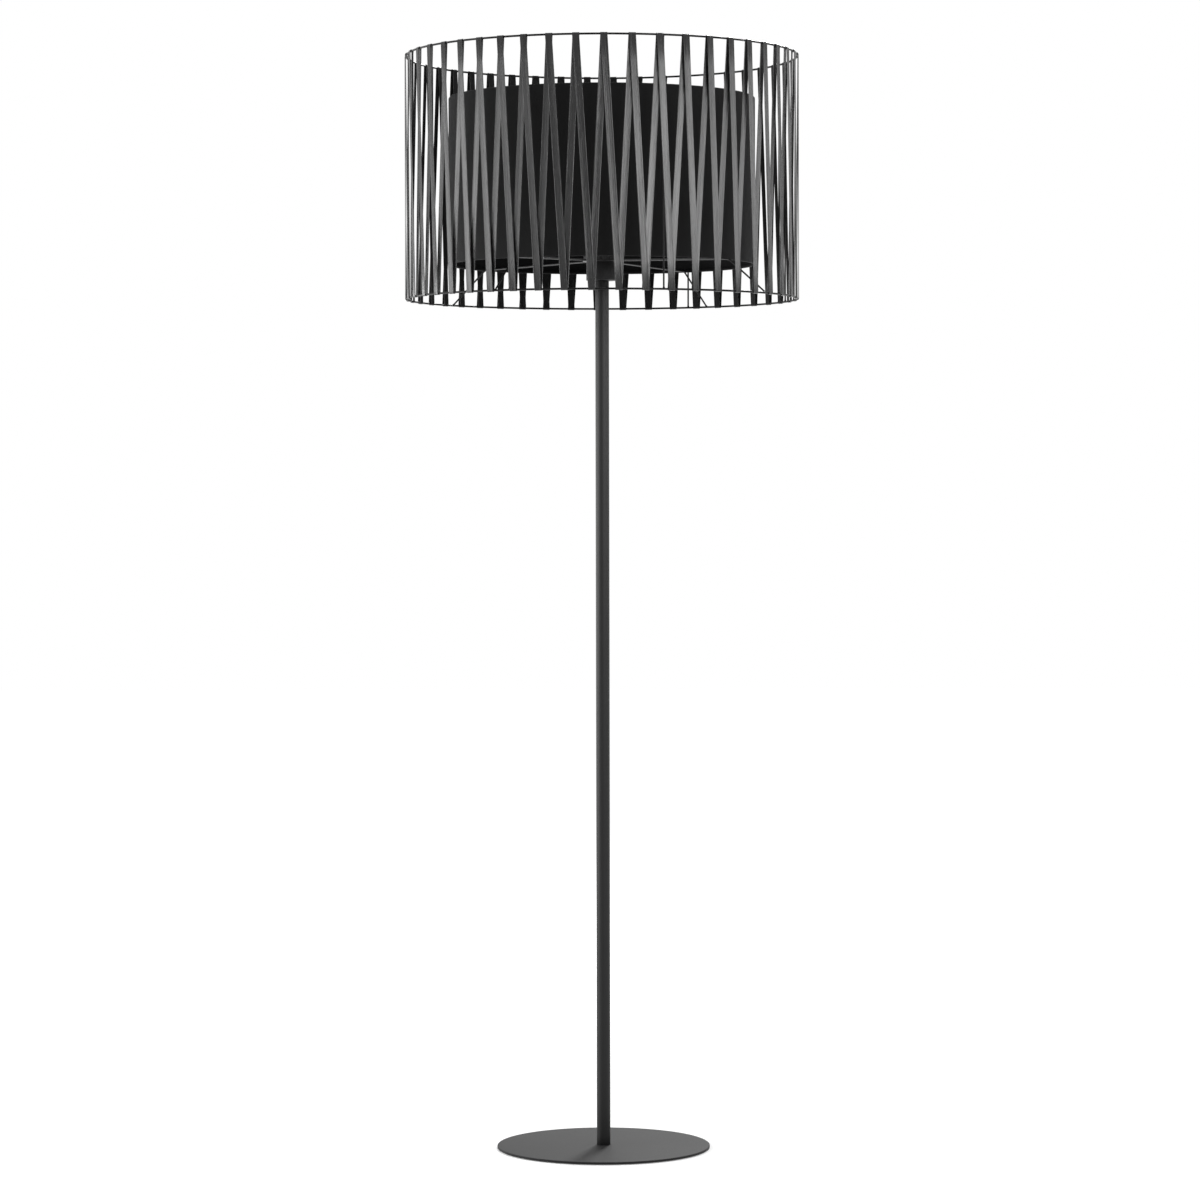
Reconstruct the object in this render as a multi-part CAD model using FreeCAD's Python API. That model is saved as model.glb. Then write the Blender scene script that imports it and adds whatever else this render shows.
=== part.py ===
import FreeCAD
import Part
import math
import os

# Floor lamp: a slim pole on a round plate carries a fabric drum shade, and a
# wire cage laced with flat strap stands round the drum.
# Millimetres. +Z is up and the origin is on the floor, under the pole.
# Angles go round the pole from the front, which is -Y, towards +X.

overall_height = 1600.0

# Base plate, the threaded stud welded on it, and its felt
plate_diameter = 312.0
plate_thickness = 3.5
plate_edge_chamfer = 0.8
felt_diameter = 296.0
felt_thickness = 1.0
stud_diameter = 10.0
stud_height = 22.0

# Pole
pole_diameter = 20.0
pole_wall = 1.2
bush_length = 18.0
thread_clearance = 0.05
spigot_height = 9.0
spigot_bore_diameter = 7.5

# Hole and grommet for the supply lead, at the back of the pole
inlet_height = 36.0
inlet_hole_diameter = 9.0
inlet_bore_diameter = 6.6
inlet_flange_diameter = 12.5
inlet_flange_thickness = 2.0
inlet_neck_length = 3.0
lead_diameter = 6.0

# Lampholder for a bulb with a 27 mm screw cap
cup_diameter = 46.0
cup_height = 26.0
cup_wall = 1.0
skirt_diameter = 39.4
skirt_height = 32.0
shoulder_diameter = 44.0
shoulder_thickness = 1.5
socket_diameter = 26.6
socket_depth = 27.0
socket_sheet = 0.4
wiring_depth = 15.0
contact_width = 6.0
contact_rise = 4.0
contact_sheet = 0.5

# Ring that clamps the shade on the lampholder
clamp_ring_diameter = 54.0
clamp_ring_height = 7.0
clamp_ring_clearance = 0.08
turning_gap = 0.1

# Drum shade, and the wires that carry it and the cage
drum_diameter = 448.0
drum_height = 243.0
drum_bottom = 1294.0
fabric_thickness = 0.8
drum_wire_diameter = 3.0
fitter_outer_diameter = 56.0
fitter_bore_diameter = 41.0
fitter_thickness = 2.0
strut_diameter = 2.5
arm_end_gap = 0.05
arm_angles = [54.7, 145.9, 232.0, 325.8]
strut_foot_angles = [54.7, 145.9, 232.0, 328.25]

# Cage
cage_wire_diameter = 3.0
cage_ring_radius = 285.0
cage_height = 353.0
upright_diameter = 2.5
upright_count = 8
first_upright_angle = 17.5
leaning_upright = 7
leaning_foot_angle = 333.0
leaning_head_angle = 330.6

# Strap lacing: each turn runs down outside the rings and up inside them
strap_width = 10.0
strap_thickness = 1.0
strap_clearance = 0.1
turn_count = 47
strap_lengths = 8
first_top_angle = -60.5
first_bottom_angle = -56.4

wire_sides = 6
cage_ring_sides = 6
drum_ring_sides = 4
fold_flats = 3

wire_radius = cage_wire_diameter / 2
fold_inner = wire_radius + strap_clearance
fold_outer = fold_inner + strap_thickness
top_ring_z = overall_height - fold_outer * math.cos(math.pi / 2 / fold_flats)
bottom_ring_z = top_ring_z - cage_height
turn_pitch = 360.0 / turn_count

pole_radius = pole_diameter / 2
pole_bore = pole_radius - pole_wall
plate_top = felt_thickness + plate_thickness
stud_radius = stud_diameter / 2
thread_radius = stud_radius + thread_clearance
cup_top = drum_bottom + 4.0
cup_bottom = cup_top - cup_height
cup_floor = cup_bottom + cup_wall
spigot_top = cup_bottom + spigot_height
skirt_radius = skirt_diameter / 2
shoulder_top = cup_top + shoulder_thickness
skirt_top = shoulder_top + skirt_height
socket_radius = socket_diameter / 2
shell_radius = socket_radius + socket_sheet
socket_floor = skirt_top - socket_depth
shell_bottom = socket_floor + contact_rise + contact_sheet + 0.2
shell_top = skirt_top - 1.0
fitter_bottom = shoulder_top + turning_gap
fitter_top = fitter_bottom + fitter_thickness
fitter_middle = fitter_bottom + fitter_thickness / 2

drum_radius = drum_diameter / 2
drum_top = drum_bottom + drum_height
drum_wire_radius = drum_wire_diameter / 2
drum_ring_radius = drum_radius - fabric_thickness - strap_clearance - drum_wire_radius
lower_ring_z = drum_bottom + drum_wire_radius
upper_ring_z = drum_top - drum_wire_radius
strut_radius = strut_diameter / 2

centre = FreeCAD.Vector(0, 0, 0)
up = FreeCAD.Vector(0, 0, 1)


def point(angle, radius, z):
    """A place at this angle round the pole, distance from its axis and height."""
    turn = math.radians(angle)
    return FreeCAD.Vector(radius * math.sin(turn), -radius * math.cos(turn), z)


def turned(profile):
    """A solid of revolution about the pole from (radius, height) corners."""
    corners = [FreeCAD.Vector(r, 0, z) for r, z in profile]
    face = Part.Face(Part.makePolygon(corners + corners[:1]))
    return face.revolve(centre, up, 360)


def tube(outer, inner, bottom, top):
    """A straight round tube about the pole's axis."""
    return turned([(inner, bottom), (outer, bottom), (outer, top), (inner, top)])


def wire_end(middle, side, other, radius):
    """The cut end of a drawn wire, as a flat face with a few corners."""
    corners = []
    for i in range(wire_sides):
        turn = 2 * math.pi * i / wire_sides
        corners.append(middle + side * (radius * math.cos(turn)) + other * (radius * math.sin(turn)))
    return Part.Face(Part.makePolygon(corners + corners[:1]))


def rod(start, end, radius):
    """A drawn wire between two points, as a prism with narrow flats."""
    along = end - start
    side = along.cross(up)
    if side.Length < 1e-6:
        side = FreeCAD.Vector(1, 0, 0)
    side.normalize()
    other = along.cross(side)
    other.normalize()
    return wire_end(start, side, other, radius).extrude(along)


def wire_ring(radius, z, wire, sides, first_corner):
    """A closed ring bent from wire, centred on the pole, as narrow flats."""
    corners = []
    for i in range(sides):
        turn = math.radians(first_corner + 360.0 * i / sides)
        corners.append((radius + wire * math.cos(turn), z + wire * math.sin(turn)))
    return turned(corners)


def base_plate():
    """Steel disc with a broken top edge."""
    rim = plate_diameter / 2
    return turned([
        (0, felt_thickness),
        (rim, felt_thickness),
        (rim, plate_top - plate_edge_chamfer),
        (rim - plate_edge_chamfer, plate_top),
        (0, plate_top),
    ])


def base_stud():
    """Threaded stud welded on the middle of the plate, for the pole."""
    return Part.makeCylinder(stud_radius, stud_height, up * plate_top)


def base_felt():
    return Part.makeCylinder(felt_diameter / 2, felt_thickness)


def inlet_cutter(diameter, reach):
    """A round hole from inside the pole out through its back wall."""
    start = FreeCAD.Vector(0, pole_bore - 3.0, inlet_height)
    return Part.makeCylinder(diameter / 2, reach, start, FreeCAD.Vector(0, 1, 0))


def pole():
    """Steel tube with a threaded bush at its foot and a hollow spigot at its top."""
    wall = tube(pole_radius, pole_bore, plate_top, cup_bottom)
    foot_bush = tube(pole_bore, thread_radius, plate_top, plate_top + bush_length)
    spigot_bore = spigot_bore_diameter / 2
    top_bush = tube(pole_bore, spigot_bore, cup_bottom - bush_length, cup_bottom)
    spigot = tube(stud_radius, spigot_bore, cup_bottom, spigot_top)
    joined = wall.multiFuse([foot_bush, top_bush, spigot]).removeSplitter()
    return joined.cut(inlet_cutter(inlet_hole_diameter, 10.0))


def cord_grommet():
    """Rubber grommet: a neck through the pole's wall and a flange outside it."""
    back = FreeCAD.Vector(0, 1, 0)
    face = FreeCAD.Vector(0, pole_radius, inlet_height)
    neck_radius = inlet_hole_diameter / 2 - thread_clearance
    neck = Part.makeCylinder(neck_radius, inlet_neck_length, face - back * inlet_neck_length, back)
    flange = Part.makeCylinder(inlet_flange_diameter / 2, inlet_flange_thickness, face, back)
    return neck.fuse(flange).cut(inlet_cutter(inlet_bore_diameter, 20.0))


def pole_lead():
    """Supply lead inside the pole, from behind the grommet up into the lampholder."""
    radius = lead_diameter / 2
    mouth = FreeCAD.Vector(0, pole_radius - inlet_neck_length - 0.5, inlet_height)
    corner = FreeCAD.Vector(0, 0, inlet_height)
    tip = FreeCAD.Vector(0, 0, cup_floor + wiring_depth - 3.0)
    across = rod(mouth, corner - FreeCAD.Vector(0, radius, 0), radius)
    upward = rod(corner, tip, radius)
    return across.fuse(upward).removeSplitter()


def holder_cup():
    """Round metal cup over the foot of the lampholder, seated on the pole's end."""
    outer = cup_diameter / 2
    return turned([
        (thread_radius, cup_bottom),
        (outer, cup_bottom),
        (outer, cup_top),
        (outer - cup_wall, cup_top),
        (outer - cup_wall, cup_floor),
        (thread_radius, cup_floor),
    ])


def holder_body():
    """Moulded lampholder: threaded on the spigot, with a shoulder that the shade rests on."""
    shoulder = shoulder_diameter / 2
    bore = shell_radius + 0.02
    return turned([
        (thread_radius, cup_floor),
        (skirt_radius, cup_floor),
        (skirt_radius, cup_top),
        (shoulder, cup_top),
        (shoulder, shoulder_top),
        (skirt_radius, shoulder_top),
        (skirt_radius, skirt_top),
        (bore, skirt_top),
        (bore, socket_floor),
        (0, socket_floor),
        (0, cup_floor + wiring_depth),
        (thread_radius, cup_floor + wiring_depth),
    ])


def socket_shell():
    """Brass screw shell for the bulb's cap."""
    return tube(shell_radius, socket_radius, shell_bottom, shell_top)


def centre_contact():
    """Sprung tongue that rises to meet the tip of the bulb."""
    sheet = contact_sheet
    low = socket_floor
    high = socket_floor + contact_rise
    outline = [
        (-9.0, low), (-5.0, low), (2.0, high), (5.0, high),
        (5.0, high + sheet), (1.8, high + sheet), (-5.2, low + sheet), (-9.0, low + sheet),
    ]
    corners = [FreeCAD.Vector(x, -contact_width / 2, z) for x, z in outline]
    side = Part.Face(Part.makePolygon(corners + corners[:1]))
    return side.extrude(FreeCAD.Vector(0, contact_width, 0))


def clamp_ring():
    """Ring that screws down the skirt and holds the shade against the shoulder."""
    bottom = fitter_top + turning_gap
    return tube(clamp_ring_diameter / 2, skirt_radius + clamp_ring_clearance,
                bottom, bottom + clamp_ring_height)


def fitter_ring():
    """Flat ring of the shade that sits on the lampholder's shoulder."""
    return tube(fitter_outer_diameter / 2, fitter_bore_diameter / 2, fitter_bottom, fitter_top)


def drum_ring(z):
    return wire_ring(drum_ring_radius, z, drum_wire_radius, drum_ring_sides, 45)


def cage_ring(z):
    return wire_ring(cage_ring_radius, z, wire_radius, cage_ring_sides, 0)


def spider_arm(angle):
    """Wire from the fitter ring's edge out to the drum's lower ring."""
    flat = drum_wire_radius * math.cos(math.pi / drum_ring_sides)
    start = point(angle, fitter_outer_diameter / 2 + arm_end_gap, fitter_middle)
    end = point(angle, drum_ring_radius - flat - arm_end_gap, lower_ring_z)
    return rod(start, end, drum_wire_radius)


def cage_strut(head_angle, foot_angle, neighbours):
    """Wire from under the drum's lower ring down and out to the cage's lower ring."""
    start = point(head_angle, drum_ring_radius, lower_ring_z - drum_wire_radius - 0.4)
    end = point(foot_angle, cage_ring_radius - wire_radius * 0.7, bottom_ring_z + wire_radius * 0.7)
    return rod(start, end, strut_radius).cut(neighbours)


def upright_angles(number):
    """Where an upright meets the lower and the upper ring: all stand straight but one."""
    if number == leaning_upright:
        return leaning_foot_angle, leaning_head_angle
    angle = first_upright_angle + 360.0 / upright_count * number
    return angle, angle


def cage_upright(foot_angle, head_angle):
    """Wire that stands on the cage's lower ring and carries its upper ring, with level ends."""
    flat = wire_radius * math.cos(math.pi / cage_ring_sides)
    start = point(foot_angle, cage_ring_radius, bottom_ring_z + flat)
    end = point(head_angle, cage_ring_radius, top_ring_z - flat)
    foot = wire_end(start, FreeCAD.Vector(1, 0, 0), FreeCAD.Vector(0, 1, 0), upright_diameter / 2)
    return foot.extrude(end - start)


def drum_shell():
    return tube(drum_radius, drum_radius - fabric_thickness, drum_bottom, drum_top)


def hand_spacing(turn, slow, slow_phase, quick, quick_phase):
    """How far a turn stands from even spacing, in degrees: two waves round the cage."""
    phase = 2 * math.pi * turn / turn_count
    return slow * math.cos(phase + slow_phase) + quick * math.cos(4 * phase + quick_phase)


def top_angle(turn):
    """Where a turn folds over the top ring."""
    return first_top_angle + turn_pitch * turn + hand_spacing(turn, 0.85, 0.35, 0.75, 0.0)


def bottom_angle(turn):
    """Where a turn folds under the bottom ring."""
    return first_bottom_angle + turn_pitch * turn + hand_spacing(turn, 1.45, 0.80, 0.35, 1.2)


def strap_section(angle, z, outside):
    """The strap's cross-section where it is level with a ring's wire."""
    side = 1 if outside else -1
    near = cage_ring_radius + side * fold_inner
    far = cage_ring_radius + side * fold_outer
    across = point(angle + 90, strap_width / 2, 0)
    corners = [
        point(angle, near, z) - across,
        point(angle, near, z) + across,
        point(angle, far, z) + across,
        point(angle, far, z) - across,
    ]
    return Part.makePolygon(corners + corners[:1])


def strap_run(start, end):
    """A straight stretch of strap, which twists a little from ring to ring."""
    return Part.makeLoft([start, end], True, True)


def strap_fold(angle, z, over):
    """The strap folded half round a ring's wire, over it or under it."""
    corners = []
    for radius, steps in ((fold_inner, range(fold_flats + 1)), (fold_outer, range(fold_flats, -1, -1))):
        for step in steps:
            turn = math.pi * step / fold_flats
            height = math.sin(turn) if over else -math.sin(turn)
            corners.append(point(angle, cage_ring_radius + radius * math.cos(turn), z + radius * height))
    across = point(angle + 90, strap_width / 2, 0)
    profile = Part.Face(Part.makePolygon([c - across for c in corners + corners[:1]]))
    return profile.extrude(across * 2)


def strap_length(first, last):
    """One unbroken length of strap, from turn first up to but not counting turn last."""
    pieces = []
    for turn in range(first, last):
        top = top_angle(turn)
        bottom = bottom_angle(turn)
        following = top_angle(turn + 1)
        outside = strap_section(top, top_ring_z, True), strap_section(bottom, bottom_ring_z, True)
        inside = strap_section(bottom, bottom_ring_z, False), strap_section(following, top_ring_z, False)
        pieces.append(strap_fold(top, top_ring_z, True))
        pieces.append(strap_run(*outside))
        pieces.append(strap_fold(bottom, bottom_ring_z, False))
        pieces.append(strap_run(*inside))
    return pieces[0].multiFuse(pieces[1:])


def strap_bounds(index):
    """First and last turn of a length of strap, shared out evenly."""
    return round(index * turn_count / strap_lengths), round((index + 1) * turn_count / strap_lengths)


def stand_parts():
    """Everything that stands still, and the clamp ring on the lampholder."""
    return {
        "base_plate": base_plate(),
        "base_stud": base_stud(),
        "base_felt": base_felt(),
        "pole": pole(),
        "cord_grommet": cord_grommet(),
        "pole_lead": pole_lead(),
        "holder_cup": holder_cup(),
        "holder_body": holder_body(),
        "socket_shell": socket_shell(),
        "centre_contact": centre_contact(),
        "clamp_ring": clamp_ring(),
    }


def shade_parts():
    """Everything that turns on the lampholder: drum, its wires and the laced cage."""
    drum_lower = drum_ring(lower_ring_z)
    cage_lower = cage_ring(bottom_ring_z)
    shapes = {
        "fitter_ring": fitter_ring(),
        "drum_lower_ring": drum_lower,
        "drum_upper_ring": drum_ring(upper_ring_z),
        "drum_shell": drum_shell(),
        "cage_lower_ring": cage_lower,
        "cage_upper_ring": cage_ring(top_ring_z),
    }
    for number, (angle, foot_angle) in enumerate(zip(arm_angles, strut_foot_angles), 1):
        shapes["spider_arm_%d" % number] = spider_arm(angle)
        shapes["cage_strut_%d" % number] = cage_strut(angle, foot_angle, [drum_lower, cage_lower])
    for number in range(1, upright_count + 1):
        shapes["cage_upright_%d" % number] = cage_upright(*upright_angles(number))
    for index in range(strap_lengths):
        shapes["strap_length_%d" % (index + 1)] = strap_length(*strap_bounds(index))
    return shapes


os.makedirs("parts", exist_ok=True)
shapes = stand_parts()
shapes.update(shade_parts())
for node, shape in shapes.items():
    shape.exportStep("parts/" + node + ".step")
print(len(shapes), "parts, lowest", min(s.BoundBox.ZMin for s in shapes.values()),
      "highest", max(s.BoundBox.ZMax for s in shapes.values()))
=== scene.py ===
import math

import bpy
import numpy as np
from mathutils import Matrix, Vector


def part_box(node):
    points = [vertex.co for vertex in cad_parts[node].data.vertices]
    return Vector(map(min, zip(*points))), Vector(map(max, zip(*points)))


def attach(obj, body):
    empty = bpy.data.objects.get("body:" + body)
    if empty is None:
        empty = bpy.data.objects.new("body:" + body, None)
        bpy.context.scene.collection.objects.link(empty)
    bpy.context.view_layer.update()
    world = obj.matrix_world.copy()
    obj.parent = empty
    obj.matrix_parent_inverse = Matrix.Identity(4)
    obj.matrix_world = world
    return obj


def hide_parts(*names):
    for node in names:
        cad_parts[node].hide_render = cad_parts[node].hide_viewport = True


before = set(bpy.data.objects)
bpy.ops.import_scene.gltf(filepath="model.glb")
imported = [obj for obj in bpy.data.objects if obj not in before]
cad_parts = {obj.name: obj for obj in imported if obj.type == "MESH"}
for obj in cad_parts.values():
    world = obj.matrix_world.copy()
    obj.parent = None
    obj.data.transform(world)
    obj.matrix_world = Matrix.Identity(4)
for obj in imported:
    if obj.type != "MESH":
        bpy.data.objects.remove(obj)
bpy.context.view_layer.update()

print("frame loaded:", len(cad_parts), "nodes")

# Lengths are in metres. Angles go round the pole from the front, -Y, towards +X.
mm = 0.001
up = np.array([0.0, 0.0, 1.0])


def boxOf(node):
    low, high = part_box(node)
    return np.array(low), np.array(high)


def middleHeight(node):
    low, high = boxOf(node)
    return (low[2] + high[2]) / 2


def outward(angle):
    # unit vector away from the pole: (sin a, -cos a, 0)
    angle = np.asarray(angle, float)
    return np.stack([np.sin(angle), -np.cos(angle), np.zeros_like(angle)], -1)


def sideways(angle):
    # unit vector along a ring at that angle: (cos a, sin a, 0)
    angle = np.asarray(angle, float)
    return np.stack([np.cos(angle), np.sin(angle), np.zeros_like(angle)], -1)


# camera: the photograph's view, fitted to the rings, the drum, the pole and the plate
view = {
    "distance": 5.6925,
    "height": 0.9472,
    "sideways": -0.0039,
    "pitch": -0.0250,
    "roll": -0.0019,
    "lens": 116.62,
}
cameraData = bpy.data.cameras.new("photoCamera")
cameraData.lens = view["lens"]
cameraData.sensor_width = 36
cameraData.clip_end = 60
camera = bpy.data.objects.new("photoCamera", cameraData)
camera.matrix_world = (
    Matrix.Translation((view["sideways"], -view["distance"], view["height"]))
    @ Matrix.Rotation(math.pi / 2 + view["pitch"], 4, "X")
    @ Matrix.Rotation(view["roll"], 4, "Z")
)
bpy.context.scene.collection.objects.link(camera)
bpy.context.scene.camera = camera


# meshes

def gridFaces(rows, columns, closedRows=False, closedColumns=False):
    # four corners of each cell of a rows x columns grid of vertices
    r = np.arange(rows if closedRows else rows - 1)
    c = np.arange(columns if closedColumns else columns - 1)
    r, c = np.meshgrid(r, c, indexing="ij")
    down, right = (r + 1) % rows, (c + 1) % columns
    cells = [r * columns + c, down * columns + c, down * columns + right, r * columns + right]
    return np.stack(cells, -1).reshape(-1, 4)


def facedOut(points, faces):
    # the faces as lists, turned over if they enclose a negative volume
    volume = 0.0
    for corners in faces:
        p = points[np.asarray(corners)]
        if p.ndim == 2:
            p = p[None]
        for i in range(1, p.shape[1] - 1):
            volume += np.einsum("ij,ij->", p[:, 0], np.cross(p[:, i], p[:, i + 1]))
    rows = [row for corners in faces for row in np.atleast_2d(np.asarray(corners)).tolist()]
    return rows if volume > 0 else [row[::-1] for row in rows]


def addPiece(name, points, faces, body, slot, material, replaces=(), place=None, crease=35):
    # faces is a list of index arrays, one row of corners to a face
    mesh = bpy.data.meshes.new(name)
    mesh.from_pydata(points.tolist(), [], facedOut(points, faces))
    mesh.polygons.foreach_set("use_smooth", [True] * len(mesh.polygons))
    mesh.set_sharp_from_angle(angle=math.radians(crease))
    if place is not None:
        attribute = mesh.attributes.new("place", "FLOAT_VECTOR", "POINT")
        attribute.data.foreach_set("vector", place.astype(np.float32).ravel())
    mesh.materials.append(material)
    mesh.update()
    piece = bpy.data.objects.new(name, mesh)
    bpy.context.scene.collection.objects.link(piece)
    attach(piece, body)
    if replaces:
        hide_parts(*replaces)
    return piece


def linerAndShadeInside(piece, material):
    # the second material goes where a face looks in at the pole: -n . outward > 0.5; on the strap
    # it is painted shade, a darker and duller copy of the strap's finish where the cage and drum
    # shade those faces; on the drum cloth it is the liner's finish
    mesh = piece.data
    mesh.materials.append(material)
    normals, middles = np.zeros((2, len(mesh.polygons), 3))
    mesh.polygons.foreach_get("normal", normals.ravel())
    mesh.polygons.foreach_get("center", middles.ravel())
    away = middles[:, :2] / np.linalg.norm(middles[:, :2], axis=1)[:, None]
    inward = np.sum(normals[:, :2] * away, axis=1) < -0.5
    mesh.polygons.foreach_set("material_index", inward.astype(np.int32))


def roundedOutline(corners, steps=5, closed=True):
    # corners are (across, up, fillet radius): each fillet is an arc tangent to both its sides
    corners = [np.array(c, float) for c in corners]
    points = []
    for i, corner in enumerate(corners):
        here, radius = corner[:2], corner[2]
        if radius <= 0 or (not closed and i in (0, len(corners) - 1)):
            points.append(here)
            continue
        back = corners[i - 1][:2] - here
        ahead = corners[(i + 1) % len(corners)][:2] - here
        back, ahead = back / np.linalg.norm(back), ahead / np.linalg.norm(ahead)
        half = math.acos(np.clip(back @ ahead, -1, 1)) / 2
        middle = (back + ahead) / np.linalg.norm(back + ahead)
        centre = here + middle * radius / math.sin(half)
        start = here + back * radius / math.tan(half) - centre
        end = here + ahead * radius / math.tan(half) - centre
        turn = math.pi - 2 * half
        for t in np.linspace(0, 1, steps + 1):
            blend = (math.sin((1 - t) * turn) * start + math.sin(t * turn) * end) / math.sin(turn)
            points.append(centre + blend)
    return np.array(points)


def roundedRectangle(halfWidth, halfHeight, radius, steps):
    signs = ((-1, -1), (1, -1), (1, 1), (-1, 1))
    return roundedOutline([(x * halfWidth, y * halfHeight, radius) for x, y in signs], steps)


def turned(outline, steps=160, closed=True, relief=None):
    # the outline of (radius, height) turned round the pole: P = outward(a) * r + up * z, where
    # relief(a, z) is taken off r; an open outline starts and ends on the axis
    angle = np.linspace(0, 2 * math.pi, steps, endpoint=False)
    ring = outline if closed else outline[1:-1]
    radius = np.broadcast_to(ring[None, :, 0], (steps, len(ring)))
    if relief is not None:
        radius = radius - relief(angle[:, None], ring[None, :, 1])
    points = outward(angle)[:, None] * radius[..., None] + up * ring[None, :, 1:]
    faces = [gridFaces(steps, len(ring), True, closed)]
    points = points.reshape(-1, 3)
    if not closed:
        first = np.arange(steps) * len(ring)
        after, count = np.roll(first, -1), len(points)
        faces.append(np.stack([np.full(steps, count), after, first], -1))
        last = len(ring) - 1
        faces.append(np.stack([np.full(steps, count + 1), first + last, after + last], -1))
        points = np.vstack([points, [[0, 0, outline[0, 1]], [0, 0, outline[-1, 1]]]])
    return points, faces


def sweep(path, sideAxis, upAxis, outline, scale=None, closed=False):
    # the outline carried along the path: P + x * side + y * up; an open path gets flat ends
    scale = np.ones(len(path)) if scale is None else scale
    across = outline[None, :, :1] * scale[:, None, None]
    rise = outline[None, :, 1:] * scale[:, None, None]
    points = path[:, None] + across * sideAxis[:, None] + rise * upAxis[:, None]
    rows, columns = len(path), len(outline)
    faces = [gridFaces(rows, columns, closed, True)]
    if not closed:
        faces.append(np.arange(columns)[::-1][None])
        faces.append((np.arange(columns) + (rows - 1) * columns)[None])
    return points.reshape(-1, 3), faces


def directions(path):
    along = np.gradient(path, axis=0)
    return along / np.linalg.norm(along, axis=1)[:, None]


def travelled(line):
    # metres walked from the line's start to each of its points
    steps = np.linalg.norm(np.diff(line, axis=0), axis=1)
    return np.concatenate([[0], np.cumsum(steps)])


def circle(radius, steps):
    turn = np.linspace(0, 2 * math.pi, steps, endpoint=False)
    return radius * np.stack([np.cos(turn), np.sin(turn)], -1)


def wireLoop(radius, z, wireRadius, steps=288, sides=14):
    # a wire bent to a circle round the pole
    angle = np.linspace(0, 2 * math.pi, steps, endpoint=False)
    path = outward(angle) * radius + up * z
    upAxis = np.broadcast_to(up, path.shape)
    return sweep(path, outward(angle), upAxis, circle(wireRadius, sides), closed=True)


# rings of vertices along a weld bead, in bead widths from its crest, and on the wire between beads
beadRings = np.array([-1.5, -1.0, -0.6, -0.3, 0, 0.3, 0.6, 1.0, 1.5, 2.2])
plainRings = 6


def wireRod(start, end, wireRadius, bead, sides=14):
    # a straight wire with a weld bead near each end:
    # r = wire * (1 + swell * exp(-((s - reach) / width)^2))
    length = np.linalg.norm(end - start)
    along = (end - start) / length
    side = np.cross(along, up)
    upright = np.linalg.norm(side) < 1e-6
    side = np.array([1.0, 0, 0]) if upright else side / np.linalg.norm(side)
    near = bead["reach"] + bead["width"] * beadRings
    near = np.concatenate([[0], near[near > 0]])
    between = np.linspace(near[-1], length - near[-1], plainRings)[1:-1]
    stations = np.concatenate([near, between, length - near[::-1]])
    fromEnd = np.minimum(stations, length - stations)
    swell = 1 + bead["swell"] * np.exp(-((fromEnd - bead["reach"]) / bead["width"]) ** 2)
    path = start + stations[:, None] * along
    axes = np.broadcast_to(side, path.shape), np.broadcast_to(np.cross(side, along), path.shape)
    return sweep(path, *axes, circle(wireRadius, sides), swell)


# materials

def grey(level):
    # a neutral grey with a trace of blue
    return (level, level, level * 1.02)


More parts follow.
